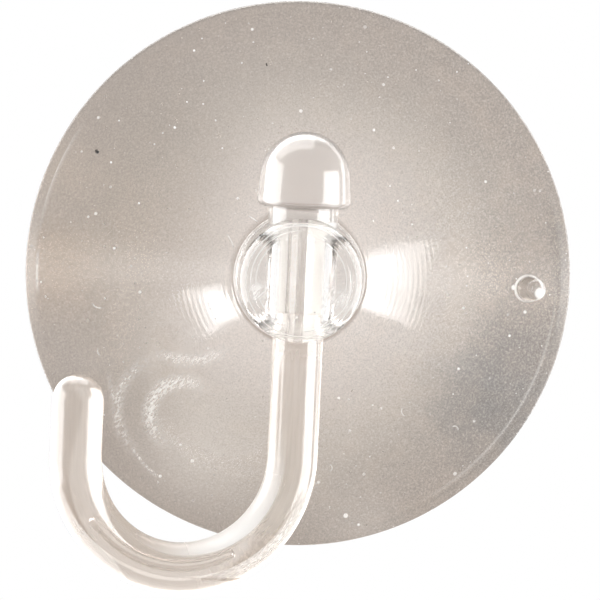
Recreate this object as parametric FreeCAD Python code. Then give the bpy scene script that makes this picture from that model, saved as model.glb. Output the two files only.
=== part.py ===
import FreeCAD, Part
import math
import os

# Clear suction cup with a swivelling hook, in millimetres.
# The origin is the centre of the rim's plane, which is the wall's face.
# The wall lies towards +Y, the front points to -Y and +Z is up.
# Depths are measured from the wall's face outwards, so a depth d lies at y = -d.

# Cup
cup_d = 60.0          # outside diameter at the rim
rim_h = 0.9           # thickness of the rim's edge
rim_round = 0.35      # rounding of the rim's front corner
land_w = 1.2          # flat ring that meets the wall
lip_w = 2.2           # flatter band round the rim
lip_h = 1.75          # front face's depth where the lip band starts
crown_h = 8.0         # front face's depth at the foot of the knob
front_bow = 0.45      # how far the front face bows out from a straight cone
hollow_h = 5.2        # depth of the hollow at its middle

# Knob, moulded in one with the cup
knob_d = 13.9         # diameter at its foot
knob_len = 10.4       # from its foot to its flat face
knob_draft = 2.5      # degrees of taper each side
knob_shoulder = 1.45  # rounding of its front edge
knob_foot = 1.2       # hollow rounding into the cup
bore_wall = 1.7       # material between the bore and the cup's front face
bore_round = 0.3      # rounding of the bore's two mouths

# Peel nub near the rim
nub_d = 2.7           # diameter where it leaves the cup's front face
nub_top_d = 2.3
nub_h = 2.5           # above the cup's front face
nub_r = 25.2          # distance from the cup's centre
nub_turn = -0.8       # degrees up from +X
nub_round = 0.6       # rounding of its end
nub_root = 0.6        # length sunk into the cup's wall

# Hook
head_h = 7.85         # height of the domed head
head_crown = 4.64     # radius of the dome
head_draft = 4.3      # degrees of taper below the dome
head_round = 1.0      # rounding of its lower edge
shank_d = 7.4         # thick part that turns in the knob
shank_len = 11.2
shank_round = 0.4
rod_d = 5.4           # round rod below the shank
bend_r = 11.85        # centre line of the bend
bend_drop = 19.0      # centre of the bend below the cup's centre
tip_len = 5.3         # straight end above the bend's centre
rest_turn = 17.0      # degrees that the hook stands out from the cup's plane

# Bubble moulded into the bend
void_d = 0.85
void_inset = 0.15     # inside the rod's centre line
void_start = 34.0     # degrees round the bend from the tip's side
void_sweep = 83.0

# Clearances
swivel_gap = 0.05     # between the shank and the bore, all round
head_gap = 0.9        # between the head and the top of the knob

# Derived
cup_r = cup_d / 2.0
land_r = cup_r - land_w
lip_r = cup_r - lip_w
knob_r = knob_d / 2.0
knob_face = crown_h + knob_len
bore_r = shank_d / 2.0 + swivel_gap
axis_h = crown_h + bore_wall + bore_r
knob_slope = math.tan(math.radians(knob_draft))
knob_face_r = knob_r - knob_len * knob_slope
knob_crest_r = knob_r - (axis_h - crown_h) * knob_slope
head_base = knob_crest_r + head_gap
rod_r = rod_d / 2.0
front_chord = math.hypot(lip_r - knob_r, crown_h - lip_h)


def at(radius, depth):
    """Point of a profile that is spun about the cup's axis."""
    return FreeCAD.Vector(radius, -depth, 0)


def cup_front_middle():
    """Middle point of the bowed front face."""
    across = (lip_r - knob_r) / front_chord
    down = (crown_h - lip_h) / front_chord
    middle_r = (knob_r + lip_r) / 2.0 + front_bow * down
    middle_h = (crown_h + lip_h) / 2.0 + front_bow * across
    return at(middle_r, middle_h)


def front_arc():
    """Front face of the cup in section, from the knob's foot to the lip."""
    return Part.Arc(at(knob_r, crown_h), cup_front_middle(), at(lip_r, lip_h))


def hollow_arc():
    """Hollow under the cup in section, level at the middle."""
    radius = (land_r ** 2 + hollow_h ** 2) / (2.0 * hollow_h)
    half = land_r / 2.0
    half_h = hollow_h - radius + math.sqrt(radius ** 2 - half ** 2)
    return Part.Arc(at(0, hollow_h), at(half, half_h), at(land_r, 0))


def round_edges(shape, centre):
    """Circular edges whose centre is the given point."""
    whole = [e for e in shape.Edges if not e.Degenerated]
    circles = [e for e in whole if isinstance(e.Curve, Part.Circle)]
    return [e for e in circles if e.Curve.Center.distanceToPoint(centre) < 0.001]


def cup_and_knob():
    """Cup with its knob, spun from one section, then rounded."""
    straight = [
        (at(land_r, 0), at(cup_r, 0)),
        (at(cup_r, 0), at(cup_r, rim_h)),
        (at(cup_r, rim_h), at(lip_r, lip_h)),
        (at(knob_r, crown_h), at(knob_face_r, knob_face)),
        (at(knob_face_r, knob_face), at(0, knob_face)),
        (at(0, knob_face), at(0, hollow_h)),
    ]
    edges = [Part.LineSegment(start, end).toShape() for start, end in straight]
    edges.append(front_arc().toShape())
    edges.append(hollow_arc().toShape())
    section = Part.Wire(Part.__sortEdges__(edges))
    body = Part.Face(section).revolve(FreeCAD.Vector(0, 0, 0), FreeCAD.Vector(0, 1, 0), 360)
    body = body.makeFillet(knob_foot, round_edges(body, at(0, crown_h)))
    body = body.makeFillet(knob_shoulder, round_edges(body, at(0, knob_face)))
    return body.makeFillet(rim_round, round_edges(body, at(0, rim_h)))


def bored(body):
    """The knob's cross bore, with its mouths rounded."""
    reach = knob_r + 1.0
    start = FreeCAD.Vector(0, -axis_h, -reach)
    bore = Part.makeCylinder(bore_r, 2 * reach, start, FreeCAD.Vector(0, 0, 1))
    body = body.cut(bore)
    mouths = []
    for face in body.Faces:
        surface = face.Surface
        if isinstance(surface, Part.Cylinder) and abs(surface.Axis.z) > 0.9:
            seams = [e for e in face.Edges if isinstance(e.Curve, Part.Line)]
            mouths += [e for e in face.Edges if not any(e.isSame(s) for s in seams)]
    return body.makeFillet(bore_round, mouths)


def peel_nub():
    """Round-ended nub that stands square on the cup's front face."""
    front = front_arc().toShape().Curve
    across = nub_r - front.Center.x
    foot = FreeCAD.Vector(nub_r, front.Center.y - math.sqrt(front.Radius ** 2 - across ** 2), 0)
    away = (foot - front.Center).normalize()
    root = foot - away * nub_root
    taper = (nub_d - nub_top_d) / nub_h
    root_d = nub_d + taper * nub_root
    nub = Part.makeCone(root_d / 2.0, nub_top_d / 2.0, nub_root + nub_h, root, away)
    nub = nub.makeFillet(nub_round, round_edges(nub, foot + away * nub_h))
    nub.rotate(FreeCAD.Vector(0, 0, 0), FreeCAD.Vector(0, 1, 0), -nub_turn)
    return nub


def suction_cup():
    """The soft moulding: cup, knob and peel nub in one piece."""
    return bored(cup_and_knob()).fuse(peel_nub()).removeSplitter()


def hook_head():
    """Domed head, spun about the hook's own axis."""
    draft = math.radians(head_draft)
    dome_z = head_base + head_h - head_crown
    side_r = head_crown * math.cos(draft)
    side_z = dome_z + head_crown * math.sin(draft)
    base_r = side_r + (side_z - head_base) * math.tan(draft)
    rise = (math.pi / 2.0 + draft) / 2.0
    crown_mid = FreeCAD.Vector(head_crown * math.cos(rise), 0, dome_z + head_crown * math.sin(rise))
    top = FreeCAD.Vector(0, 0, head_base + head_h)
    side = FreeCAD.Vector(side_r, 0, side_z)
    corner = FreeCAD.Vector(base_r, 0, head_base)
    foot = FreeCAD.Vector(0, 0, head_base)
    edges = [
        Part.Arc(top, crown_mid, side).toShape(),
        Part.LineSegment(side, corner).toShape(),
        Part.LineSegment(corner, foot).toShape(),
        Part.LineSegment(foot, top).toShape(),
    ]
    head = Part.Face(Part.Wire(edges)).revolve(FreeCAD.Vector(0, 0, 0), FreeCAD.Vector(0, 0, 1), 360)
    return head.makeFillet(head_round, round_edges(head, foot))


def hook_shank():
    """Thick part that turns in the knob's bore."""
    start = FreeCAD.Vector(0, 0, head_base - shank_len)
    shank = Part.makeCylinder(shank_d / 2.0, shank_len + head_round, start, FreeCAD.Vector(0, 0, 1))
    return shank.makeFillet(shank_round, round_edges(shank, start))


def bend_point(radius, angle):
    """Point round the bend, by degrees from the tip's side, in the hook's own plane."""
    turn = math.radians(angle)
    return FreeCAD.Vector(-bend_r - radius * math.cos(turn), 0, -bend_drop - radius * math.sin(turn))


def hook_rod():
    """Rod swept down, round the bend and up to its round end."""
    top = FreeCAD.Vector(0, 0, head_base - shank_len + shank_round)
    tip = FreeCAD.Vector(-2 * bend_r, 0, tip_len - bend_drop)
    down = Part.LineSegment(top, bend_point(bend_r, 180))
    bend = Part.Arc(bend_point(bend_r, 180), bend_point(bend_r, 90), bend_point(bend_r, 0))
    up = Part.LineSegment(bend_point(bend_r, 0), tip)
    path = Part.Wire([down.toShape(), bend.toShape(), up.toShape()])
    section = Part.Wire(Part.Circle(top, FreeCAD.Vector(0, 0, 1), rod_r).toShape())
    rod = path.makePipeShell([section], True, False)
    return rod.fuse(Part.makeSphere(rod_r, tip))


def bend_bubble():
    """Long bubble left inside the bend when the plastic cooled."""
    line_r = bend_r - void_inset
    start = bend_point(line_r, void_start)
    middle = bend_point(line_r, void_start + void_sweep / 2.0)
    end = bend_point(line_r, void_start + void_sweep)
    path = Part.Wire(Part.Arc(start, middle, end).toShape())
    turn = math.radians(void_start)
    along = FreeCAD.Vector(math.sin(turn), 0, -math.cos(turn))
    section = Part.Wire(Part.Circle(start, along, void_d / 2.0).toShape())
    bubble = path.makePipeShell([section], True, False)
    ends = [Part.makeSphere(void_d / 2.0, point) for point in (start, end)]
    return bubble.multiFuse(ends)


def hook():
    """The rigid moulding: head, shank and bent rod in one piece."""
    body = hook_head().multiFuse([hook_shank(), hook_rod()]).removeSplitter()
    body = body.cut(bend_bubble())
    body.rotate(FreeCAD.Vector(0, 0, 0), FreeCAD.Vector(0, 0, 1), rest_turn)
    body.translate(FreeCAD.Vector(0, -axis_h, 0))
    return body


def save(name, shape):
    """Writes one piece and prints what it measures."""
    solid = shape.Solids[0]
    box = solid.BoundBox
    print(name, "solids", len(shape.Solids), "shells", len(solid.Shells), "valid", solid.isValid())
    print("  volume %.1f mm3, x %.2f %.2f, y %.2f %.2f, z %.2f %.2f" % (
        solid.Volume, box.XMin, box.XMax, box.YMin, box.YMax, box.ZMin, box.ZMax))
    solid.exportStep("parts/%s.step" % name)


os.makedirs("parts", exist_ok=True)
save("suction_cup", suction_cup())
save("hook", hook())
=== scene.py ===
"""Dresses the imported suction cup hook: a smoky soft PVC cup and a clear hook, on white."""

import logging
import math
from dataclasses import dataclass
from enum import Enum

import bmesh
import bpy
from mathutils import Matrix, Vector

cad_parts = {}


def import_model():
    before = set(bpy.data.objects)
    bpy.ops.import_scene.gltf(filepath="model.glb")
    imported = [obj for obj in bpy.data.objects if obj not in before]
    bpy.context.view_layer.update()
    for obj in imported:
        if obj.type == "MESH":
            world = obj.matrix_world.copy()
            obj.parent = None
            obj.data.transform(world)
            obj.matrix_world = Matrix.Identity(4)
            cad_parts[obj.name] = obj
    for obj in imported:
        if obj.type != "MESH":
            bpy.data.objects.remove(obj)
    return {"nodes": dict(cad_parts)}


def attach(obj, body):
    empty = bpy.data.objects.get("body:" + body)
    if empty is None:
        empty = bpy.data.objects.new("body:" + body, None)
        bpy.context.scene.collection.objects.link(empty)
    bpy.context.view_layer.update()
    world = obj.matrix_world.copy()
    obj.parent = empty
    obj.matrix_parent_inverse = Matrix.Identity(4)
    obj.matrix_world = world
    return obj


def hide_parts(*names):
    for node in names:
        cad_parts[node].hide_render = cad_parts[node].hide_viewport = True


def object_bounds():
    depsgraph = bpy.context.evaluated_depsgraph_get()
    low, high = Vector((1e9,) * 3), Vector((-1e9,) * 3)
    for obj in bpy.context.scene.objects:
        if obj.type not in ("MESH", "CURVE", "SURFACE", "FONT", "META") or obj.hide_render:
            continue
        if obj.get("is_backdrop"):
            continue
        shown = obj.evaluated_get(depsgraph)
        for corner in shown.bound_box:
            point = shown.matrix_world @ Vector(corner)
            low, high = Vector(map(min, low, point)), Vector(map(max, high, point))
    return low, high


LOG = logging.getLogger("suction_cup_hook")
MM = 0.001
BUBBLE_MARK = "bubble_wall"
FLOW_PLACE = "flow_place"


class Body(Enum):
    """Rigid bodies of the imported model."""

    CUP = "cup_body"
    HOOK = "hook_body"


class Rays(Enum):
    """Which rays meet a lamp: its plain light, its shine, and its glow through clear plastic."""

    ALL = (True, True, True)
    CLEAR = (False, True, True)
    SHINE = (False, True, False)
    THROUGH = (False, False, True)


class Slot(Enum):
    """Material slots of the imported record."""

    PVC = "clear_pvc"
    PLASTIC = "clear_plastic"


class Join(Enum):
    """How one closed mesh is combined with another."""

    CUT = "DIFFERENCE"
    ADD = "UNION"


Tree = bpy.types.NodeTree
Node = bpy.types.Node
Socket = bpy.types.NodeSocket
Colour = tuple[float, float, float, float]
Point = tuple[float, float]

# Sockets of a Mix node that is set to colours, which share their names with its number sockets.
MIX_SHARE, MIX_UNDER, MIX_OVER, MIX_RESULT = 0, 6, 7, 2


def linear(hex_colour: str) -> Colour:
    """Turns an sRGB hex colour into linear RGBA.

    Args:
        hex_colour: six hex digits after a hash sign.

    Returns:
        Linear red, green, blue and an alpha of 1.
    """
    channels = []
    for start in (1, 3, 5):
        value = int(hex_colour[start:start + 2], 16) / 255.0
        low = value / 12.92
        high = ((value + 0.055) / 1.055) ** 2.4
        channels.append(low if value <= 0.04045 else high)
    return (*channels, 1.0)


def pattern_scale(size_mm: float) -> float:
    """Gives the scale of a pattern whose grain has this size."""
    return 1.0 / (size_mm * MM)


def add_node(
    tree: Tree,
    kind: str,
    inputs: tuple[object, ...] | dict[str | int, object] = (),
    **settings: object,
) -> Node:
    """Adds one node with its settings, and sets or links its inputs.

    Args:
        tree: node tree that gets the node.
        kind: the node's type, without the words ShaderNode in front.
        inputs: in order, or by name or number: a value, a socket, or a node for its first output.
        **settings: attributes of the node, such as its operation.

    Returns:
        The new node.
    """
    node = tree.nodes.new(f"ShaderNode{kind}")
    for name, value in settings.items():
        setattr(node, name, value)
    for name, source in inputs.items() if isinstance(inputs, dict) else enumerate(inputs):
        if isinstance(source, Node):
            source = source.outputs[0]
        if isinstance(source, Socket):
            tree.links.new(source, node.inputs[name])
        else:
            node.inputs[name].default_value = source
    return node


def new_material(name: str) -> tuple[bpy.types.Material, Tree, Socket]:
    """Starts an empty node material.

    Args:
        name: the material's name.

    Returns:
        The material, its node tree and its object coordinates in metres.
    """
    material = bpy.data.materials.new(name)
    material.use_nodes = True
    tree = material.node_tree
    tree.nodes.clear()
    return material, tree, add_node(tree, "TexCoord").outputs["Object"]


def set_stops(ramp: Node, stops: list[tuple[float, Colour]]) -> Socket:
    """Puts colours on a ramp, the first and last of them on the ramp's own two stops.

    Args:
        ramp: the ramp's node.
        stops: each place on the ramp with its colour, in order.

    Returns:
        The ramp's colour.
    """
    elements = ramp.color_ramp.elements
    for element, (place, colour) in zip((elements[0], elements[-1]), (stops[0], stops[-1])):
        element.position = place
        element.color = colour
    for place, colour in stops[1:-1]:
        elements.new(place).color = colour
    return ramp.outputs["Color"]


@dataclass(frozen=True)
class SoftPatch:
    """One soft, broad blot seen from the front, of tint, dust or painted highlight: its place and its tint,
    sizes in millimetres.
    """

    x: float
    z: float
    reach: float
    colour: str
    strength: float

    def share(self, tree: Tree, place: Socket) -> Node:
        """Gives a mask that fades from the blot's middle to its edge.

        Args:
            tree: node tree to add to.
            place: object coordinates.

        Returns:
            The mask, at its highest the blot's strength.
        """
        to_middle = (-self.x * MM, 0.0, -self.z * MM)
        shift = add_node(tree, "VectorMath", (place, (1.0, 0.0, 1.0), to_middle), operation="MULTIPLY_ADD")
        away = add_node(tree, "VectorMath", (shift,), operation="LENGTH").outputs["Value"]
        fade = {"Value": away, "From Min": self.reach * MM, "From Max": 0.0, "To Max": self.strength}
        return add_node(tree, "MapRange", fade, interpolation_type="SMOOTHSTEP")


@dataclass(frozen=True)
class ArcMark:
    """One faint curved mark on the cup, such as a fibre, a darker stretch of rim, or a painted glint or
    highlight line, sizes in millimetres.
    """

    x: float
    z: float
    radius: float
    towards_deg: float
    half_deg: float
    width: float
    strength: float

    def share(self, tree: Tree, place: Socket) -> Node:
        """Gives a mask along the arc that fades at its sides and ends.

        Args:
            tree: node tree to add to.
            place: object coordinates.

        Returns:
            The mask, at its highest the mark's strength.
        """
        to_middle = (-self.x * MM, 0.0, -self.z * MM)
        shift = add_node(tree, "VectorMath", (place, (1.0, 0.0, 1.0), to_middle), operation="MULTIPLY_ADD")
        away = add_node(tree, "VectorMath", (shift,), operation="LENGTH").outputs["Value"]
        off_line = add_node(tree, "Math", (away, self.radius * MM), operation="SUBTRACT")
        off_line = add_node(tree, "Math", (off_line,), operation="ABSOLUTE")
        fade = {"Value": off_line, "From Min": self.width * MM, "From Max": 0.0, "To Max": self.strength}
        beside = add_node(tree, "MapRange", fade, interpolation_type="SMOOTHSTEP")
        turn = math.radians(self.towards_deg)
        unit = add_node(tree, "VectorMath", (shift,), operation="NORMALIZE")
        towards = (math.cos(turn), 0.0, math.sin(turn))
        facing = add_node(tree, "VectorMath", (unit, towards), operation="DOT_PRODUCT").outputs["Value"]
        fade = {"Value": facing, "From Min": math.cos(math.radians(self.half_deg)), "From Max": 1.0}
        ends = add_node(tree, "MapRange", fade, interpolation_type="SMOOTHSTEP")
        return add_node(tree, "Math", (beside, ends), operation="MULTIPLY")


@dataclass(frozen=True)
class RodBand:
    """One band along the rod, sizes in millimetres: a worn band, a painted highlight band or a painted shade
    line.
    """

    middle: float
    half_width: float
    strength: float
    outer_fade: float = 0.2
    inner_fade: float = 0.15

    def share(self, tree: Tree, side: Socket) -> Node:
        """Gives a mask of the band.

        Args:
            tree: node tree to add to.
            side: place across the band, in metres.

        Returns:
            The mask, at its highest the band's strength.
        """
        off = add_node(tree, "Math", (side, self.middle * MM), operation="SUBTRACT")
        fade = {
            "Value": add_node(tree, "Math", (off,), operation="ABSOLUTE"),
            "From Min": (self.half_width + self.outer_fade) * MM,
            "From Max": (self.half_width - self.inner_fade) * MM,
            "To Max": self.strength,
        }
        return add_node(tree, "MapRange", fade, interpolation_type="SMOOTHSTEP")


@dataclass(frozen=True)
class Specks:
    """Small flecks held to the surface, one in some of the cells of a random grid.

    Real dust is finer than a pixel, so the flecks are drawn as large as they need to show.
    """

    cell_mm: float
    share: float
    size: float
    smallest: float = 0.25
    patch_mm: float = 8.0
    patch_swing: float = 0.4

    def cover(self, tree: Tree, place: Socket) -> Node:
        """Gives a mask of the flecks, denser in some patches than in others.

        Args:
            tree: node tree to add to.
            place: object coordinates.

        Returns:
            A mask that is up to 1 on the flecks.
        """
        grid = {"Vector": place, "Scale": pattern_scale(self.cell_mm)}
        cells = add_node(tree, "TexVoronoi", grid, feature="F1")
        chance = add_node(tree, "SeparateColor", (cells.outputs["Color"],))
        patch = {"Vector": place, "Scale": pattern_scale(self.patch_mm), "Detail": 1.0}
        patch = {"Value": add_node(tree, "TexNoise", patch), "From Min": 0.35, "From Max": 0.65}
        patch["To Min"] = 1.0 - self.share * (1.0 - self.patch_swing)
        patch["To Max"] = 1.0 - self.share * (1.0 + self.patch_swing)
        wanted = add_node(tree, "MapRange", patch)
        picked = add_node(tree, "Math", (chance.outputs["Red"], wanted), operation="GREATER_THAN")
        small = add_node(tree, "Math", (chance.outputs["Green"], 3.0), operation="POWER")
        sizes = (small, self.size, self.size * self.smallest)
        reach = add_node(tree, "Math", sizes, operation="MULTIPLY_ADD")
        far = add_node(tree, "Math", (cells.outputs["Distance"], reach), operation="DIVIDE")
        near = add_node(tree, "Math", (1.0, far), operation="SUBTRACT", use_clamp=True)
        soft = add_node(tree, "Math", (near, 3.0), operation="MULTIPLY", use_clamp=True)
        faint = add_node(tree, "Math", (chance.outputs["Blue"], 0.7, 0.3), operation="MULTIPLY_ADD")
        fleck = add_node(tree, "Math", (soft, picked), operation="MULTIPLY")
        return add_node(tree, "Math", (fleck, faint), operation="MULTIPLY")


@dataclass(frozen=True)
class SoftPvcFinish:
    """Plasticised PVC, moulded and handled: smoky, glossy, a little cloudy, with dust held to it.

    The plasticiser makes it tacky, so lint and grit stay on it, and the mould's turned face
    leaves fine rings. It looks grey-beige in front of white, and paler towards the knob.
    """

    name: str = "plasticised_pvc_moulded"
    tints: tuple[tuple[float, str], ...] = (
        (0.2, "#B5A89F"),
        (0.236, "#B8ABA2"),
        (0.248, "#E4DAD3"),
        (0.42, "#D7CDC6"),
        (0.6, "#C7BDB4"),
        (0.75, "#B5ABA2"),
        (0.88, "#AFA49B"),
        (1.0, "#A99E95"),
    )
    knob_tint: str = "#FCFAF8"
    knob_reach_mm: float = 7.1
    # Broad patches of tint in the plastic, some darker and some paler.
    tone_patches: tuple[SoftPatch, ...] = (
        SoftPatch(-18.0, 5.0, 17.0, "#A99B8D", 0.6),
        SoftPatch(22.5, -12.8, 12.0, "#878584", 0.8),
        SoftPatch(-2.0, -21.0, 12.0, "#CDC3BA", 0.45),
        SoftPatch(23.0, 1.0, 9.0, "#A59A91", 0.5),
        SoftPatch(-27.0, -1.0, 8.0, "#C0AD9B", 0.5),
        SoftPatch(-14.0, 16.0, 12.0, "#A0968C", 0.4),
        SoftPatch(-10.0, -19.5, 9.5, "#DDD4CC", 0.6),
        SoftPatch(24.0, -6.5, 7.0, "#8F8883", 0.5),
        SoftPatch(-20.5, -6.5, 7.0, "#A5988C", 0.4),
        SoftPatch(8.5, -27.0, 7.0, "#DDD4CC", 0.3),
        SoftPatch(27.0, 2.5, 5.5, "#A59A91", 0.28),
        SoftPatch(-26.5, 1.0, 5.0, "#A39281", 0.3),
        SoftPatch(-26.5, 10.5, 5.5, "#D8C6B4", 0.2),
    )
    # Painted highlights on the knob's face, left and right, then painted glints low on the left, drawn as
    # curved marks.
    painted_glints: tuple[SoftPatch | ArcMark, ...] = (
        SoftPatch(-4.5, -1.3, 1.6, "#FFFDFA", 0.7),
        SoftPatch(4.4, -2.0, 2.6, "#FFFDFA", 0.5),
        ArcMark(-11.8, -15.8, 3.8, 150.0, 120.0, 1.3, 0.95),
        ArcMark(-12.8, -15.4, 6.4, 174.0, 70.0, 1.1, 0.58),
        ArcMark(-11.9, -2.7, 7.0, 275.0, 42.0, 1.2, 0.6),
        ArcMark(-8.0, -14.0, 11.0, 222.0, 16.0, 0.35, 0.7),
        ArcMark(-4.0, -9.0, 16.5, 200.0, 14.0, 0.5, 0.45),
    )
    # Painted highlight lines on the turned steps: round the knob's face first, then round the rim.
    painted_highlight_lines: tuple[ArcMark, ...] = (
        ArcMark(0.0, 0.0, 5.8, 90.0, 180.0, 0.13, 0.5),
        ArcMark(0.0, 0.0, 5.8, 270.0, 180.0, 0.13, 0.5),
        ArcMark(0.0, 0.0, 5.3, 140.0, 80.0, 0.11, 0.45),
        ArcMark(0.0, 0.0, 5.3, -40.0, 70.0, 0.11, 0.45),
        ArcMark(0.0, 0.0, 4.75, 190.0, 110.0, 0.1, 0.4),
        ArcMark(0.0, 0.0, 4.75, 20.0, 70.0, 0.1, 0.35),
        ArcMark(0.0, 0.0, 29.75, -32.0, 48.0, 0.4, 0.3),
        ArcMark(0.0, 0.0, 28.45, -30.0, 34.0, 0.28, 0.34),
        ArcMark(0.0, 0.0, 29.4, -24.0, 36.0, 0.9, 0.2),
        ArcMark(0.0, 0.0, 28.9, 160.0, 15.0, 0.5, 0.34),
        ArcMark(0.0, 0.0, 28.7, 182.0, 6.0, 0.35, 0.4),
        ArcMark(0.0, 0.0, 29.5, 172.0, 50.0, 0.8, 0.2),
        ArcMark(0.0, 0.0, 29.2, 40.0, 48.0, 0.6, 0.16),
    )
    # Single pieces of dust, grit and fibre that are large enough to be told apart, with painted highlights
    # at the peel nub.
    flecks: tuple[SoftPatch, ...] = (
        SoftPatch(-14.2, 15.5, 0.2, "#FFFDFA", 2.5),
        SoftPatch(7.4, 16.2, 0.2, "#FFFDFA", 2.0),
        SoftPatch(-12.5, 24.0, 0.18, "#FFFDFA", 2.0),
        SoftPatch(6.4, -26.3, 0.36, "#FFFDFA", 2.5),
        SoftPatch(7.9, -27.3, 0.24, "#FFFDFA", 1.6),
        SoftPatch(-14.2, -22.8, 0.26, "#FFFDFA", 2.0),
        SoftPatch(4.9, -13.0, 0.22, "#FFFDFA", 2.5),
        SoftPatch(6.0, -13.1, 0.2, "#FFFDFA", 0.9),
        SoftPatch(6.3, -16.6, 0.26, "#FFFDFA", 0.9),
        SoftPatch(9.6, -14.0, 0.24, "#FFFDFA", 0.8),
        SoftPatch(17.9, -9.4, 0.2, "#FFFDFA", 2.5),
        SoftPatch(20.0, -15.2, 0.28, "#FFFDFA", 0.8),
        SoftPatch(23.4, -5.6, 0.2, "#FFFDFA", 2.0),
        SoftPatch(-3.9, 13.6, 0.16, "#FFFDFA", 0.8),
        SoftPatch(-21.0, 11.4, 0.17, "#FFFDFA", 2.0),
        SoftPatch(-20.2, 2.1, 0.19, "#FFFDFA", 2.0),
        # Painted highlights: the next two are the bright spot beside the peel nub and the glints on its top.
        SoftPatch(23.6, -0.3, 0.42, "#FFFDFA", 1.6),
        SoftPatch(26.4, -0.75, 0.95, "#FFFDFA", 1.8),
        SoftPatch(25.0, -2.95, 0.34, "#FFFDFA", 0.9),
        SoftPatch(29.1, -2.75, 0.2, "#FFFDFA", 1.0),
    )
    grains: tuple[SoftPatch, ...] = (
        SoftPatch(-22.55, 12.45, 0.24, "#1E1B18", 3.0),
        SoftPatch(-4.5, 22.7, 0.14, "#4A443E", 1.5),
    )
    fibres_and_nub_ring: tuple[ArcMark, ...] = (
        ArcMark(-9.37, -0.8, 8.0, 59.0, 5.0, 0.12, 1.0),
        ArcMark(-11.03, 1.63, 4.0, 30.0, 14.0, 0.12, 0.7),
        ArcMark(17.85, -16.2, 0.42, 60.0, 100.0, 0.13, 0.7),
        ArcMark(12.45, -14.2, 0.6, 200.0, 75.0, 0.13, 0.6),
        ArcMark(4.15, -20.9, 0.45, 10.0, 90.0, 0.13, 0.6),
        ArcMark(-21.6, -3.6, 0.9, 250.0, 50.0, 0.14, 0.6),
        ArcMark(-21.0, -9.2, 0.6, 200.0, 60.0, 0.14, 0.5),
        # Painted highlight: the last two marks draw the bright ring round the peel nub's foot.
        ArcMark(25.2, -0.35, 1.42, 180.0, 180.0, 0.26, 1.0),
        ArcMark(25.2, -0.35, 1.42, 0.0, 180.0, 0.26, 1.0),
    )
    # Darker stretches of the rim.
    rim_shades: tuple[ArcMark, ...] = (
        ArcMark(0.0, 0.0, 29.75, 270.0, 70.0, 0.5, 0.1),
        ArcMark(0.0, 0.0, 29.85, 90.0, 80.0, 0.35, 0.6),
        ArcMark(0.0, 0.0, 28.8, 2.0, 20.0, 1.4, 0.5),
        ArcMark(0.0, 0.0, 29.0, -35.0, 42.0, 0.4, 0.4),
    )
    rim_shade: str = "#7E7871"
    # Near-white of the dust, and of the painted highlights, glints and light at the bore's mouths.
    dust_and_highlight_white: str = "#FFFDFA"
    grit_shade: str = "#1C1916"
    dust: Specks = Specks(1.7, 0.62, 0.13)
    lint: Specks = Specks(0.8, 0.45, 0.15)
    grit: Specks = Specks(6.0, 0.1, 0.035)
    dust_and_mark_roughness: float = 0.7
    # The strokes that break up the painted glints are finer than a pixel in the real one, and are drawn
    # coarser here.
    streak_mm: float = 0.2
    streak_stretch: float = 5.0
    streak_lean_deg: float = 38.0
    ior: float = 1.53
    roughness: float = 0.085
    under_roughness: float = 0.25
    under_slope: float = 0.2
    under_depth_mm: float = 7.1
    bore_roughness: float = 0.12
    bore_axis_mm: float = 13.45
    bore_reach_mm: float = 3.85
    # Painted light at both mouths of the bore, drawn as a pale film.
    painted_mouth_light_mm: Point = (3.2, 5.8)
    painted_mouth_light_share: float = 0.26
    # Grain size, shade and most of its share. The finest stands for haze that is finer than a pixel.
    mottles: tuple[tuple[float, str, float], ...] = (
        (0.13, "#6F6A63", 0.42),
        (0.22, "#F6EEE6", 0.34),
        (2.6, "#DCC9B8", 0.14),
    )
    grain_sides_mm: Point = (-20.0, 25.0)
    grain_swing: Point = (0.6, 1.25)
    cup_radius_mm: float = 30.0
    cloud_mm: float = 9.0
    cloud_drift: float = 0.16
    # The mould's tool marks are about 0.1 mm apart, too fine to show, so they are drawn coarser.
    ring_pitch_mm: float = 0.55
    ring_depth_mm: float = 0.0006
    knob_ring_share: float = 5.0
    knob_rings_mm: tuple[float, ...] = (5.1, 5.5, 5.85)
    knob_ring_depth_mm: float = 0.014
    knob_ring_half_mm: float = 0.12
    knob_blend_mm: float = 0.2
    wave_mm: float = 3.5
    wave_depth_mm: float = 0.02

    def radius(self, tree: Tree, place: Socket) -> Socket:
        """Gives the distance from the cup's axis.

        Args:
            tree: node tree to add to.
            place: object coordinates.

        Returns:
            The distance in metres.
        """
        flat = add_node(tree, "VectorMath", (place, (1.0, 0.0, 1.0)), operation="MULTIPLY")
        return add_node(tree, "VectorMath", (flat,), operation="LENGTH").outputs["Value"]

    def underside(self, tree: Tree, place: Socket, radius: Socket) -> Node:
        """Marks the side that faces the wall, which is duller than the front.

        Args:
            tree: node tree to add to.
            place: object coordinates.
            radius: distance from the cup's axis.

        Returns:
            A mask that is 1 on the wall side.
        """
        parts = add_node(tree, "SeparateXYZ", (place,))
        rise = add_node(tree, "Math", (radius, self.under_slope), operation="MULTIPLY")
        depth = add_node(tree, "Math", (rise, parts.outputs["Y"]), operation="SUBTRACT")
        return add_node(tree, "Math", (depth, self.under_depth_mm * MM), operation="LESS_THAN")

    def in_bore(self, tree: Tree, place: Socket) -> Node:
        """Marks the wall of the cross bore, which the shank has worn dull.

        Args:
            tree: node tree to add to.
            place: object coordinates.

        Returns:
            A mask that is 1 in the bore.
        """
        to_axis = (0.0, self.bore_axis_mm * MM, 0.0)
        off = add_node(tree, "VectorMath", (place, (1.0, 1.0, 0.0), to_axis), operation="MULTIPLY_ADD")
        away = add_node(tree, "VectorMath", (off,), operation="LENGTH").outputs["Value"]
        return add_node(tree, "Math", (away, self.bore_reach_mm * MM), operation="LESS_THAN")

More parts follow.
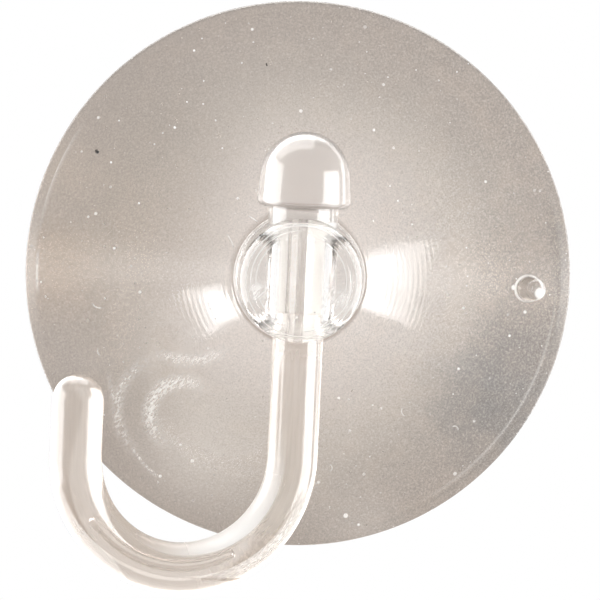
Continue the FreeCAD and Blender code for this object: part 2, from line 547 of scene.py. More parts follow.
    def painted_mouth_light(self, tree: Tree, place: Socket, bore: Node) -> Node:
        """Gives a pale film at both mouths of the bore: painted light that lightens the dark corners seen
        there.

        Args:
            tree: node tree to add to.
            place: object coordinates.
            bore: mask of the bore's wall.

        Returns:
            How much of the wall the painted light covers.
        """
        parts = add_node(tree, "SeparateXYZ", (place,))
        fade = {
            "Value": add_node(tree, "Math", (parts.outputs["Z"],), operation="ABSOLUTE"),
            "From Min": self.painted_mouth_light_mm[0] * MM,
            "From Max": self.painted_mouth_light_mm[1] * MM,
            "To Max": self.painted_mouth_light_share,
        }
        fade = add_node(tree, "MapRange", fade, interpolation_type="SMOOTHSTEP")
        return add_node(tree, "Math", (fade, bore), operation="MULTIPLY")

    def tint(self, tree: Tree, place: Socket, radius: Socket) -> Socket:
        """Colours the plastic by its distance from the axis, with faint clouds, blots and grain.

        Args:
            tree: node tree to add to.
            place: object coordinates.
            radius: distance from the cup's axis.

        Returns:
            The plastic's colour.
        """
        across = add_node(tree, "Math", (radius, self.cup_radius_mm * MM), operation="DIVIDE")
        clouds = {"Vector": place, "Scale": pattern_scale(self.cloud_mm), "Detail": 4.0}
        drift = add_node(tree, "Math", (add_node(tree, "TexNoise", clouds), 0.5), operation="SUBTRACT")
        drift = add_node(tree, "Math", (drift, across), operation="MULTIPLY")
        way = add_node(tree, "Math", (drift, self.cloud_drift, across), operation="MULTIPLY_ADD")
        ramp = add_node(tree, "ValToRGB", (way,))
        colour = set_stops(ramp, [(share, linear(tint)) for share, tint in self.tints])
        layers = [(blot.share(tree, place), blot.colour) for blot in self.tone_patches]
        layers += [(mark.share(tree, place), self.rim_shade) for mark in self.rim_shades]
        parts = add_node(tree, "SeparateXYZ", (place,))
        aside = {
            "Value": parts.outputs["X"],
            "From Min": self.grain_sides_mm[0] * MM,
            "From Max": self.grain_sides_mm[1] * MM,
            "To Min": self.grain_swing[0],
            "To Max": self.grain_swing[1],
        }
        aside = add_node(tree, "MapRange", aside)
        for size, shade, most in self.mottles:
            mottle = {"Vector": place, "Scale": pattern_scale(size), "Detail": 2.0}
            mottle = {"Value": add_node(tree, "TexNoise", mottle), "From Min": 0.45, "From Max": 0.75}
            mottle = add_node(tree, "MapRange", {**mottle, "To Max": most})
            layers.append((add_node(tree, "Math", (mottle, aside), operation="MULTIPLY"), shade))
        for share, shade in layers:
            mix = {MIX_SHARE: share, MIX_UNDER: colour, MIX_OVER: linear(shade)}
            colour = add_node(tree, "Mix", mix, data_type="RGBA").outputs[MIX_RESULT]
        return colour

    def relief(self, tree: Tree, place: Socket, radius: Socket) -> Node:
        """Gives the fine turned rings and the slow waves of the soft surface.

        Args:
            tree: node tree to add to.
            place: object coordinates.
            radius: distance from the cup's axis.

        Returns:
            The bumped normal.
        """
        turns = (radius, 2.0 * math.pi / (self.ring_pitch_mm * MM))
        turns = add_node(tree, "Math", turns, operation="MULTIPLY")
        depth = {
            "Value": radius,
            "From Min": self.knob_reach_mm * MM,
            "From Max": (self.knob_reach_mm + self.knob_blend_mm) * MM,
            "To Min": self.ring_depth_mm * self.knob_ring_share,
            "To Max": self.ring_depth_mm,
        }
        sine = add_node(tree, "Math", (turns,), operation="SINE")
        rings = add_node(tree, "Math", (sine, add_node(tree, "MapRange", depth)), operation="MULTIPLY")
        waves = {"Vector": place, "Scale": pattern_scale(self.wave_mm), "Detail": 2.0}
        waves = (add_node(tree, "TexNoise", waves), self.wave_depth_mm, rings)
        height = add_node(tree, "Math", waves, operation="MULTIPLY_ADD")
        for ring_mm in self.knob_rings_mm:
            off = add_node(tree, "Math", (radius, ring_mm * MM), operation="SUBTRACT")
            ridge = {
                "Value": add_node(tree, "Math", (off,), operation="ABSOLUTE"),
                "From Min": self.knob_ring_half_mm * MM,
                "From Max": 0.0,
                "To Max": self.knob_ring_depth_mm,
            }
            ridge = add_node(tree, "MapRange", ridge, interpolation_type="SMOOTHSTEP")
            height = add_node(tree, "Math", (height, ridge), operation="ADD")
        return add_node(tree, "Bump", {"Distance": MM, "Strength": 1.0, "Height": height})

    def dust_and_painted_highlights(self, tree: Tree, place: Socket, front: Node) -> Node:
        """Gives the faint painted glints, the flecks and bits of fibre, and the painted highlight lines on
        the front, with painted highlights at the peel nub.

        Args:
            tree: node tree to add to.
            place: object coordinates.
            front: mask of the cup's front.

        Returns:
            How pale the marks make the surface.
        """
        lean = {
            "Vector": place,
            "Rotation": (0.0, math.radians(self.streak_lean_deg), 0.0),
            "Scale": (1.0, 1.0, self.streak_stretch),
        }
        lean = add_node(tree, "Mapping", lean, vector_type="TEXTURE")
        streaks = {"Vector": lean, "Scale": pattern_scale(self.streak_mm), "Detail": 1.5}
        broken = {
            "Value": add_node(tree, "TexNoise", streaks),
            "From Min": 0.34,
            "From Max": 0.62,
            "To Min": 0.12,
            "To Max": 1.0,
        }
        broken = add_node(tree, "MapRange", broken)
        painted_glints = self.strongest(tree, place, self.painted_glints)
        haze = add_node(tree, "Math", (painted_glints, broken), operation="MULTIPLY")
        marks = self.strongest(tree, place, (*self.flecks, *self.fibres_and_nub_ring, *self.painted_highlight_lines))
        haze = add_node(tree, "Math", (haze, marks), operation="MAXIMUM")
        return add_node(tree, "Math", (haze, front), operation="MULTIPLY")

    def strongest(self, tree: Tree, place: Socket, marks: tuple[SoftPatch | ArcMark, ...]) -> Node:
        """Gives the strongest of several marks at each place.

        Args:
            tree: node tree to add to.
            place: object coordinates.
            marks: the marks.

        Returns:
            Their mask, from 0 to 1.
        """
        strongest = marks[0].share(tree, place)
        for mark in marks[1:]:
            strongest = add_node(tree, "Math", (strongest, mark.share(tree, place)), operation="MAXIMUM")
        return add_node(tree, "Math", (strongest, 1.0), operation="MINIMUM")

    def make(self) -> bpy.types.Material:
        """Builds the material.

        Returns:
            The material.
        """
        material, tree, place = new_material(self.name)
        radius = self.radius(tree, place)
        under = self.underside(tree, place, radius)
        dust = (self.dust.cover(tree, place), self.lint.cover(tree, place))
        dust = add_node(tree, "Math", dust, operation="MAXIMUM")
        grit = (self.grit.cover(tree, place), self.strongest(tree, place, self.grains))
        grit = add_node(tree, "Math", grit, operation="MAXIMUM")
        front = add_node(tree, "Math", (1.0, under), operation="SUBTRACT")
        bore = self.in_bore(tree, place)
        haze = (self.dust_and_painted_highlights(tree, place, front), self.painted_mouth_light(tree, place, bore))
        haze = add_node(tree, "Math", haze, operation="MAXIMUM")
        # Dust, painted highlights and the painted light at the bore's mouths turn near-white together.
        pale = add_node(tree, "Math", (dust, haze), operation="MAXIMUM")
        in_knob = add_node(tree, "Math", (radius, self.knob_reach_mm * MM), operation="LESS_THAN")
        in_knob = add_node(tree, "Math", (in_knob, front), operation="MULTIPLY")
        colour = self.tint(tree, place, radius)
        for share, shade in (
            (in_knob, self.knob_tint),
            (pale, self.dust_and_highlight_white),
            (grit, self.grit_shade),
        ):
            mix = {MIX_SHARE: share, MIX_UNDER: colour, MIX_OVER: linear(shade)}
            colour = add_node(tree, "Mix", mix, data_type="RGBA").outputs[MIX_RESULT]
        solid = add_node(tree, "Math", (pale, grit), operation="MAXIMUM")
        dull = self.roughness
        for share, roughness in (
            (under, self.under_roughness),
            (solid, self.dust_and_mark_roughness),
            (bore, self.bore_roughness),
        ):
            rough = add_node(tree, "Math", (share, roughness), operation="MULTIPLY")
            dull = add_node(tree, "Math", (rough, dull), operation="MAXIMUM")
        surface = {
            "Base Color": colour,
            "Transmission Weight": add_node(tree, "Math", (1.0, solid), operation="SUBTRACT"),
            "Roughness": dull,
            "IOR": self.ior,
            "Normal": self.relief(tree, place, radius),
        }
        shader = add_node(tree, "BsdfPrincipled", surface)
        add_node(tree, "OutputMaterial", {"Surface": shader})
        return material


@dataclass(frozen=True)
class ClearPlasticFinish:
    """Polycarbonate, moulded: clear, with a warm cast where it is thick and a faint milkiness.

    It bends light strongly, so its edges gather the bright surroundings while its middle
    shows what lies behind it, softened by the milkiness. The bend is scuffed where things hang.
    """

    name: str = "polycarbonate_moulded"
    milks: tuple[tuple[float, str], ...] = (
        (0.0, "#FBF8F6"),
        (8.0, "#F3ECE6"),
        (16.0, "#F3ECE5"),
        (24.0, "#F5EFE8"),
        (31.0, "#F0E8E1"),
        (44.0, "#E8DFD7"),
        (53.0, "#E9E0D8"),
        (64.0, "#E4DBD3"),
    )
    way_mm: float = 70.0
    clears: tuple[tuple[float, float], ...] = (
        (0.0, 0.8),
        (6.5, 0.8),
        (9.0, 0.66),
        (24.0, 0.66),
        (31.0, 0.78),
        (46.0, 0.78),
        (56.0, 0.5),
    )
    # Painted shade: a dark line round the foot of the head, where the gap to the knob shows dark.
    head_gap_shade: str = "#6F665E"
    head_gap_shade_line: RodBand = RodBand(7.75, 0.3, 0.55)
    cast: str = "#C9BDB3"
    density: float = 30.0
    ior: float = 1.585
    dulls: tuple[tuple[float, float], ...] = (
        (0.0, 0.17),
        (22.0, 0.15),
        (32.0, 0.08),
        (47.0, 0.08),
        (57.0, 0.18),
    )
    # Near-white of the scuffs, and of the painted highlight bands on the shank.
    scuff: str = "#FFFDFA"
    scuff_band: RodBand = RodBand(1.05, 0.4, 0.9)
    scuff_way: SoftPatch = SoftPatch(1.05, -28.8, 9.0, "#FFFDFA", 1.0)
    seat_band: RodBand = RodBand(-2.3, 0.75, 1.0)
    seat_way: SoftPatch = SoftPatch(-2.3, -30.5, 17.0, "#FFFDFA", 1.0)
    # Painted highlight bands on the shank inside the knob.
    painted_highlight_bands: tuple[RodBand, ...] = (
        RodBand(-2.35, 0.75, 0.95),
        RodBand(-0.85, 0.3, 0.6),
        RodBand(2.0, 1.5, 1.0),
    )
    rub_reach_mm: float = 6.2
    rub_haze: float = 0.1
    seat_evenness: float = 0.7
    flow_mm: float = 0.45
    flow_stretch: float = 0.05
    flow_depth_mm: float = 0.004
    milk_streaks: float = 0.2
    # Real scratches are a few hundredths of a millimetre wide, and are drawn coarser to show.
    scuff_mm: float = 0.17
    scuff_stretch: float = 0.3
    scuff_lean_deg: float = 35.0
    scuff_depth_mm: float = 0.002
    scuff_roughness: float = 0.3
    ripple_mm: float = 1.6
    ripple_depth_mm: float = 0.008
    # Painted reflection: the bubble's wall turns white and cloudy at grazing angles, for the bright outline
    # of its reflections.
    bubble_outline_white: str = "#FFFFFF"
    bubble_outline_power: float = 1.7

    def shank_bands(self, tree: Tree, place: Socket, flow: Node) -> Node:
        """Gives the whitish bands on the shank inside the knob: a faint even haze, and painted highlight
        bands.

        Args:
            tree: node tree to add to.
            place: object coordinates.
            flow: streaks that run along the rod.

        Returns:
            How much of the surface the bands cover.
        """
        parts = add_node(tree, "SeparateXYZ", (place,))
        height = add_node(tree, "Math", (parts.outputs["Z"],), operation="ABSOLUTE")
        inside = add_node(tree, "Math", (height, self.rub_reach_mm * MM), operation="LESS_THAN")
        patchy = {"Value": flow, "From Min": 0.3, "From Max": 0.5, "To Min": 0.75, "To Max": 1.0}
        patchy = add_node(tree, "MapRange", patchy)
        bands = add_node(tree, "Math", (inside, self.rub_haze), operation="MULTIPLY")
        for rub in self.painted_highlight_bands:
            bands = add_node(tree, "Math", (bands, rub.share(tree, parts.outputs["X"])), operation="MAXIMUM")
        bands = add_node(tree, "Math", (bands, patchy), operation="MULTIPLY")
        return add_node(tree, "Math", (bands, inside), operation="MULTIPLY")

    def scuffs(self, tree: Tree, straight: Socket, across: Socket) -> Node:
        """Gives the broken scratches low on the bend, and the wear of its seat.

        Args:
            tree: node tree to add to.
            straight: place with the bend rolled out.
            across: that place's part across the rod.

        Returns:
            A mask that is near 1 on the scratches and on the worn seat.
        """
        lean = {
            "Vector": straight,
            "Rotation": (0.0, math.radians(self.scuff_lean_deg), 0.0),
            "Scale": (1.0, 1.0, self.scuff_stretch),
        }
        scratches = {
            "Vector": add_node(tree, "Mapping", lean),
            "Scale": pattern_scale(self.scuff_mm),
            "Detail": 3.0,
            "Roughness": 0.7,
        }
        cut = {
            "Value": add_node(tree, "TexNoise", scratches),
            "From Min": 0.42,
            "From Max": 0.62,
            "To Min": 0.3,
        }
        cut = add_node(tree, "MapRange", cut)
        where = (self.scuff_band.share(tree, across), self.scuff_way.share(tree, straight))
        where = add_node(tree, "Math", where, operation="MULTIPLY")
        scratched = add_node(tree, "Math", (cut, where), operation="MULTIPLY")
        seat = (self.seat_band.share(tree, across), self.seat_way.share(tree, straight))
        seat = add_node(tree, "Math", seat, operation="MULTIPLY")
        uneven = add_node(tree, "Math", (self.seat_evenness, cut), operation="ADD", use_clamp=True)
        worn = add_node(tree, "Math", (seat, uneven), operation="MULTIPLY")
        return add_node(tree, "Math", (scratched, worn), operation="MAXIMUM")

    def along_rod(self, tree: Tree, along: Node, stops: list[tuple[float, Colour]]) -> Socket:
        """Gives a colour, or a share as a grey, that changes along the rod.

        Args:
            tree: node tree to add to.
            along: way along the rod, as a share of the whole.
            stops: the way in millimetres and the colour there.

        Returns:
            The colour.
        """
        ramp = add_node(tree, "ValToRGB", (along,))
        return set_stops(ramp, [(way / self.way_mm, colour) for way, colour in stops])

    def clearness(self, tree: Tree, clearest: Socket, flow: Node, scuffs: Node, bubble: Socket) -> Node:
        """Gives how clear the plastic is: streaky, dull where worn and on the painted highlight bands, with
        a painted white outline at the bubble's edges.

        Args:
            tree: node tree to add to.
            clearest: how clear it is here at most.
            flow: streaks that run along the rod.
            scuffs: mask of the worn places and of the painted highlight bands.
            bubble: 1 on the bubble's wall.

        Returns:
            The share of light that goes through.
        """
        # Painted reflection: a white outline at the bubble's grazing edges.
        facing = add_node(tree, "LayerWeight", {"Blend": 0.5}).outputs["Facing"]
        edge = add_node(tree, "Math", (facing, self.bubble_outline_power), operation="POWER")
        edge = add_node(tree, "Math", (edge, bubble), operation="MULTIPLY")
        even = add_node(tree, "Math", (1.0, flow), operation="SUBTRACT")
        base = add_node(tree, "Math", (clearest, 0.5 * self.milk_streaks), operation="SUBTRACT")
        clear = add_node(tree, "Math", (even, self.milk_streaks, base), operation="MULTIPLY_ADD")
        clear = add_node(tree, "Math", (clear, bubble), operation="MAXIMUM")
        for share in (scuffs, edge):
            rest = add_node(tree, "Math", (1.0, share), operation="SUBTRACT")
            clear = add_node(tree, "Math", (clear, rest), operation="MULTIPLY")
        return clear

    def make(self) -> bpy.types.Material:
        """Builds the material.

        Returns:
            The material.
        """
        material, tree, place = new_material(self.name)
        ripple = {"Vector": place, "Scale": pattern_scale(self.ripple_mm), "Detail": 3.0}
        ripple = add_node(tree, "TexNoise", ripple)
        straight = add_node(tree, "Attribute", attribute_name=FLOW_PLACE).outputs["Vector"]
        parts = add_node(tree, "SeparateXYZ", (straight,))
        drawn = {"Vector": straight, "Scale": (1.0, 1.0, self.flow_stretch)}
        drawn = add_node(tree, "Mapping", drawn)
        flow = {"Vector": drawn, "Scale": pattern_scale(self.flow_mm), "Detail": 3.0}
        flow = add_node(tree, "TexNoise", flow)
        # The scuff mask also carries the painted highlight bands on the shank.
        scuffs = (self.scuffs(tree, straight, parts.outputs["X"]), self.shank_bands(tree, place, flow))
        scuffs = add_node(tree, "Math", scuffs, operation="MAXIMUM")
        height = add_node(tree, "Math", (ripple, self.ripple_depth_mm), operation="MULTIPLY")
        for pattern, depth in ((flow, self.flow_depth_mm), (scuffs, -self.scuff_depth_mm)):
            height = add_node(tree, "Math", (pattern, depth, height), operation="MULTIPLY_ADD")
        way = (parts.outputs["Z"], -pattern_scale(self.way_mm))
        along = add_node(tree, "Math", way, operation="MULTIPLY")
        colour = self.along_rod(tree, along, [(way, linear(milk)) for way, milk in self.milks])
        dull, clear = (
            self.along_rod(tree, along, [(way, (share, share, share, 1.0)) for way, share in stops])
            for stops in (self.dulls, self.clears)
        )
        bubble = add_node(tree, "Attribute", attribute_name=BUBBLE_MARK).outputs["Fac"]
        for share, shade in (
            # Painted shade under the head, then scuffs with the painted highlight bands, then the bubble's
            # painted white outline.
            (self.head_gap_shade_line.share(tree, parts.outputs["Z"]), self.head_gap_shade),
            (scuffs, self.scuff),
            (bubble, self.bubble_outline_white),
        ):
            mix = {MIX_SHARE: share, MIX_UNDER: colour, MIX_OVER: linear(shade)}
            colour = add_node(tree, "Mix", mix, data_type="RGBA").outputs[MIX_RESULT]
        rough = add_node(tree, "Math", (scuffs, self.scuff_roughness, dull), operation="MULTIPLY_ADD")
        surface = {
            "Base Color": colour,
            "Transmission Weight": self.clearness(tree, clear, flow, scuffs, bubble),
            "Roughness": rough,
            "IOR": self.ior,
            "Normal": add_node(tree, "Bump", {"Distance": MM, "Strength": 1.0, "Height": height}),
        }
        cast = {"Color": linear(self.cast), "Density": self.density}
        cast = add_node(tree, "VolumeAbsorption", cast)
        shader = add_node(tree, "BsdfPrincipled", surface)
        add_node(tree, "OutputMaterial", {"Surface": shader, "Volume": cast})
        return material


@dataclass(frozen=True)
class PaintedFloor:
    """Matt white paint on a board: pale, even, and it keeps the object's soft shadow."""

    name: str = "matt_pale_paint"
    colour: str = "#DAD4CD"
    roughness: float = 0.7
    grain_mm: float = 1.5
    grain_depth_mm: float = 0.02

    def make(self) -> bpy.types.Material:
        """Builds the material.

        Returns:
            The material.
        """
        material, tree, place = new_material(self.name)
        grain = {"Vector": place, "Scale": pattern_scale(self.grain_mm), "Detail": 2.0}
        bump = {"Distance": self.grain_depth_mm * MM, "Strength": 0.3}
        bump["Height"] = add_node(tree, "TexNoise", grain)
        surface = {
            "Base Color": linear(self.colour),
            "Roughness": self.roughness,
            "Normal": add_node(tree, "Bump", bump),
        }
        shader = add_node(tree, "BsdfPrincipled", surface)
        add_node(tree, "OutputMaterial", {"Surface": shader})
        return material


def finish_mesh(name: str, build: bmesh.types.BMesh, sharp_deg: float) -> bpy.types.Object:
    """Turns a bmesh into a smooth-shaded object at the origin.

    Args:
        name: the object's name.
        build: the mesh, which is freed.
        sharp_deg: edges that turn more than this stay sharp.

    Returns:
        The new object, linked to the scene.
    """
    mesh = bpy.data.meshes.new(name)
    for face in build.faces:
        face.smooth = True
    build.to_mesh(mesh)
    build.free()
    mesh.set_sharp_from_angle(angle=math.radians(sharp_deg))
    piece = bpy.data.objects.new(name, mesh)
    bpy.context.scene.collection.objects.link(piece)
    return piece


def lathe(points: list[Vector], axis: tuple[float, float, float], steps: int) -> bmesh.types.BMesh:
    """Spins a line of points once round an axis through the origin, and closes seam and poles.

    Args:
        points: the line's points in order.
        axis: the axis to turn about.
        steps: number of stretches round it.

    Returns:
        The turned mesh.
    """
    build = bmesh.new()
    verts = [build.verts.new(point) for point in points]
    edges = [build.edges.new(pair) for pair in zip(verts, verts[1:])]
    bmesh.ops.spin(
        build,
        geom=[*verts, *edges],
        cent=(0, 0, 0),
        axis=axis,
        angle=2.0 * math.pi,
        steps=steps,
        use_merge=True,
    )
    bmesh.ops.remove_doubles(build, verts=build.verts, dist=1e-7)
    return build


def arc(centre: Point, radius: float, start: float, end: float, steps: int) -> list[Point]:
    """Points along an arc in a flat section.

    Args:
        centre: the arc's centre.
        radius: its radius.
        start: first angle in degrees.
        end: last angle in degrees.
        steps: number of stretches between the points.

    Returns:
        The points, both ends included.
    """
    points = []
    for step in range(steps + 1):
        angle = math.radians(start + (end - start) * step / steps)
        points.append((centre[0] + radius * math.cos(angle), centre[1] + radius * math.sin(angle)))
    return points


def rounded(before: Point, corner: Point, after: Point, radius: float, steps: int) -> list[Point]:
    """Rounds the corner between two straight stretches of a section.

    Args:
        before: a point on the first stretch.
        corner: where the stretches meet.
        after: a point on the second stretch.
        radius: radius of the rounding.
        steps: number of stretches round it.

    Returns:
        Points from the first stretch to the second.
    """
    here = Vector(corner)
    back = (Vector(before) - here).normalized()
    onward = (Vector(after) - here).normalized()
    half = back.angle(onward) / 2.0
    centre = here + (back + onward).normalized() * radius / math.sin(half)
    start = here + back * radius / math.tan(half) - centre
    end = here + onward * radius / math.tan(half) - centre
    first = math.degrees(math.atan2(start.y, start.x))
    last = math.degrees(math.atan2(end.y, end.x))
    sweep = (last - first + 180.0) % 360.0 - 180.0
    return arc((centre.x, centre.y), radius, first, first + sweep, steps)


def stretch(start: Point, end: Point, steps: int) -> list[Point]:
    """Points inside a straight stretch, both ends left out.

    Args:
        start: where it begins.
        end: where it ends.
        steps: number of equal steps along it.

    Returns:
        The points between the steps.
    """
    return [
        (start[0] + (end[0] - start[0]) * k / steps, start[1] + (end[1] - start[1]) * k / steps)
        for k in range(1, steps)
    ]


def combine(body: bpy.types.Object, tool: bpy.types.Object, how: Join) -> None:
    """Cuts or joins a second closed mesh and keeps the result.

    Args:
        body: the object that stays.
        tool: the object that is used up.
        how: whether the tool is cut away or added.
    """
    change = body.modifiers.new("combine", "BOOLEAN")
    change.operation = how.value
    change.solver = "EXACT"
    change.object = tool
    bpy.context.view_layer.update()
    seen = body.evaluated_get(bpy.context.evaluated_depsgraph_get())
    result = bpy.data.meshes.new_from_object(seen)
    body.modifiers.clear()
    old = body.data
    body.data = result
    bpy.data.meshes.remove(old)
    bpy.data.objects.remove(tool)


@dataclass
class CupMoulding:
    """Soft moulding: round cup, bored knob and peel nub in one piece. Sizes in millimetres."""

    cup_d: float = 60.0
    rim_h: float = 0.9
    rim_round: float = 0.35
    land_w: float = 1.2
    lip_w: float = 2.2
    lip_h: float = 1.75
    crown_h: float = 8.0
    front_bow: float = 0.45
    hollow_h: float = 5.2
    knob_d: float = 13.9
    knob_len: float = 10.4
    knob_draft: float = 2.5
    knob_shoulder: float = 1.45
    knob_foot: float = 0.5
    bore_wall: float = 1.7
    bore_r: float = 3.75
    nub_d: float = 2.7
    nub_top_d: float = 2.3
    nub_h: float = 2.5
    nub_r: float = 25.2
    nub_turn: float = -0.8
    nub_round: float = 0.6
    nub_root: float = 0.6
    nub_flare: float = 0.3
    nub_lap: float = 0.03
    turns: int = 288
    bore_turns: int = 160
    bore_over: float = 4.0
    nub_turns: int = 64
    sharp_deg: float = 35.0

    @property
    def axis_h(self) -> float:
        """Depth of the bore's axis in front of the wall's face."""
        return self.crown_h + self.bore_wall + self.bore_r

    @property
    def knob_top(self) -> float:
        """Height of the knob's side above the bore's axis."""
        return self.knob_d / 2.0 - (self.axis_h - self.crown_h) * math.tan(math.radians(self.knob_draft))

    def front_circle(self) -> tuple[Vector, float]:
        """Works out the bowed front face in section.

        Returns:
            The centre and the radius of its circle.
        """
        foot = Vector((self.knob_d / 2.0, self.crown_h))
        lip = Vector((self.cup_d / 2.0 - self.lip_w, self.lip_h))
        chord = (lip - foot).length
        radius = (chord ** 2 / 4.0 + self.front_bow ** 2) / (2.0 * self.front_bow)
        along = (lip - foot).normalized()
        outward = Vector((-along.y, along.x))
        centre = (foot + lip) / 2.0 - outward * (radius - self.front_bow)
        return centre, radius

    def front_height(self, radius: float) -> float:
        """Works out the depth of the front face.

        Args:
            radius: distance from the cup's axis.

        Returns:
            The depth there, in front of the wall's face.
        """
        centre, size = self.front_circle()
        return centre.y + math.sqrt(size ** 2 - (radius - centre.x) ** 2)

    def section(self) -> list[Point]:
        """Draws the outline of the cup and knob in section.

        The last points of a straight stretch are left out where a rounding follows it.

        Returns:
            Radius and depth of each point, from the hollow's middle to the knob's.
        """
        cup_r = self.cup_d / 2.0
        land_r = cup_r - self.land_w
        lip = (cup_r - self.lip_w, self.lip_h)
        knob_r = self.knob_d / 2.0
        face_h = self.crown_h + self.knob_len
        face_r = knob_r - self.knob_len * math.tan(math.radians(self.knob_draft))
        ball = (land_r ** 2 + self.hollow_h ** 2) / (2.0 * self.hollow_h)
        edge = math.degrees(math.asin(land_r / ball))
        points = arc((0.0, self.hollow_h - ball), ball, 90.0, 90.0 - edge, 40)
        points += stretch((land_r, 0.0), (cup_r, 0.0), 3)
        points.append((cup_r, 0.0))
        points += stretch((cup_r, 0.0), (cup_r, self.rim_h - self.rim_round), 3)
        points += rounded((cup_r, 0.0), (cup_r, self.rim_h), lip, self.rim_round, 6)
        points += stretch(points[-1], lip, 4)
        foot_r = knob_r + self.knob_foot
        radii = [lip[0] + (foot_r - lip[0]) * k / 36.0 for k in range(37)]
        points += [(radius, self.front_height(radius)) for radius in radii]
        slope_far = (foot_r + 1.0, self.front_height(foot_r + 1.0))
        foot = (knob_r, self.front_height(knob_r))
        points += rounded(slope_far, foot, (face_r, face_h), self.knob_foot, 10)
        points += stretch(points[-1], (face_r, face_h), 14)[:-2]
        points += rounded(foot, (face_r, face_h), (0.0, face_h), self.knob_shoulder, 14)
        points += stretch(points[-1], (0.0, face_h), 8)
        points.append((0.0, face_h))
        return points

    def body(self) -> bpy.types.Object:
        """Spins the section about the cup's axis.

        Returns:
            The cup and knob, without bore and nub.
        """
        line = [Vector((r * MM, -d * MM, 0.0)) for r, d in self.section()]
        build = lathe(line, (0, 1, 0), self.turns)
        bmesh.ops.recalc_face_normals(build, faces=build.faces)
        return finish_mesh("suction_cup_moulding", build, self.sharp_deg)

    def bore(self) -> bpy.types.Object:
        """Makes the round bar that cuts the cross bore.

        Returns:
            The bar.
        """
        build = bmesh.new()
        place = Matrix.Translation((0, -self.axis_h * MM, 0))
        bmesh.ops.create_cone(
            build,
            cap_ends=True,
            segments=self.bore_turns,
            radius1=self.bore_r * MM,
            radius2=self.bore_r * MM,
            depth=(self.knob_d + self.bore_over) * MM,
            matrix=place,
        )
        return finish_mesh("bore_cutter", build, self.sharp_deg)

    def nub(self) -> bpy.types.Object:
        """Makes the peel nub, square on the front face.

        Returns:
            The nub, with its root sunk into the cup's wall.
        """
        centre, _ = self.front_circle()
        foot = Vector((self.nub_r, self.front_height(self.nub_r)))
        away = (foot - centre).normalized()
        sunk = self.nub_root
        taper = (self.nub_d - self.nub_top_d) / (2.0 * self.nub_h)
        root_r = self.nub_d / 2.0 + taper * sunk
        top_r = self.nub_top_d / 2.0
        draft = math.degrees(math.atan(taper))
        flare = self.nub_flare
        foot_r = root_r - taper * (sunk + flare)
        outline = [(0.0, -sunk), (foot_r + flare, -sunk)]
        outline += stretch((foot_r + flare, -sunk), (foot_r + flare, -self.nub_lap), 3)
        outline += arc((foot_r + flare, flare - self.nub_lap), flare, 270.0, 180.0 + draft, 8)
        outline += stretch(outline[-1], (top_r, self.nub_h), 6)[:-1]
        outline += rounded((root_r, -sunk), (top_r, self.nub_h), (0.0, self.nub_h), self.nub_round, 8)
        outline.append((0.0, self.nub_h))
        build = lathe([Vector((r * MM, 0.0, h * MM)) for r, h in outline], (0, 0, 1), self.nub_turns)
        bmesh.ops.recalc_face_normals(build, faces=build.faces)
        out = Vector((away.x, -away.y, 0))
        lean = Vector((0, 0, 1)).rotation_difference(out).to_matrix().to_4x4()
        seat = Matrix.Translation((foot.x * MM, -foot.y * MM, 0))
        turn = Matrix.Rotation(math.radians(-self.nub_turn), 4, "Y")
        bmesh.ops.transform(build, matrix=turn @ seat @ lean, verts=build.verts)
        return finish_mesh("nub_blank", build, self.sharp_deg)

    def make(self, material: bpy.types.Material) -> bpy.types.Object:
        """Builds and dresses the whole moulding.

        Args:
            material: its finish.

        Returns:
            The finished piece.
        """
        piece = self.body()
        combine(piece, self.bore(), Join.CUT)
        combine(piece, self.nub(), Join.ADD)
        piece.data.materials.clear()
        piece.data.materials.append(material)
        for polygon in piece.data.polygons:
            polygon.use_smooth = True
            polygon.material_index = 0
        piece.data.set_sharp_from_angle(angle=math.radians(self.sharp_deg))
        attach(piece, Body.CUP.value)
        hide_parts("suction_cup")
        return piece


